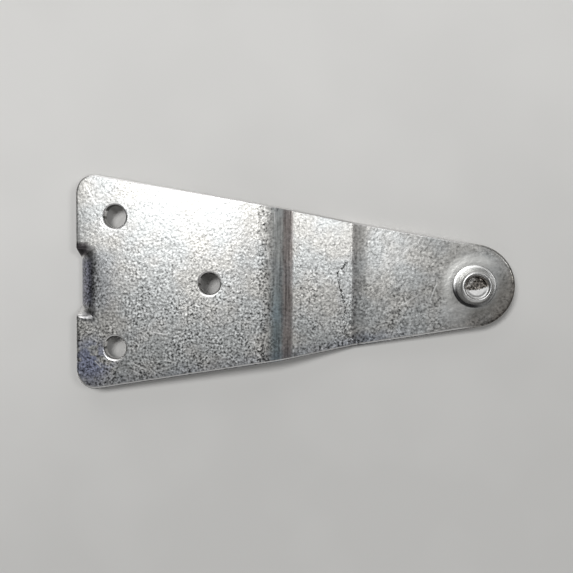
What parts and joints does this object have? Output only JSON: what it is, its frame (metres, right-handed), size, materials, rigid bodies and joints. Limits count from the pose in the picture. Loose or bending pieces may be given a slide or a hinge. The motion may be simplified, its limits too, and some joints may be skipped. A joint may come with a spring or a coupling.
{
  "type": "refrigerator door hinge",
  "caption": "Tapered steel hinge plate with a joggle, a turned-down lip, screw holes and a riveted hollow pin that a fridge door turns on.",
  "frame": {"origin": "on the mounting face, midway between the two screw holes at the wide end", "axes": "+X along the plate to the pin, +Y across the plate, +Z out of the mounting face, the way that the pin stands"},
  "size_m": [0.1277, 0.0634, 0.0123],
  "materials": {
    "plated_sheet": "bright zinc plate over pebbled sheet steel",
    "plated_pin": "bright zinc plate, smooth side, rough hollow"
  },
  "bodies": {
    "root": {"hinge_plate": "plated_sheet", "hinge_pin": "plated_pin"}
  },
  "joints": []
}
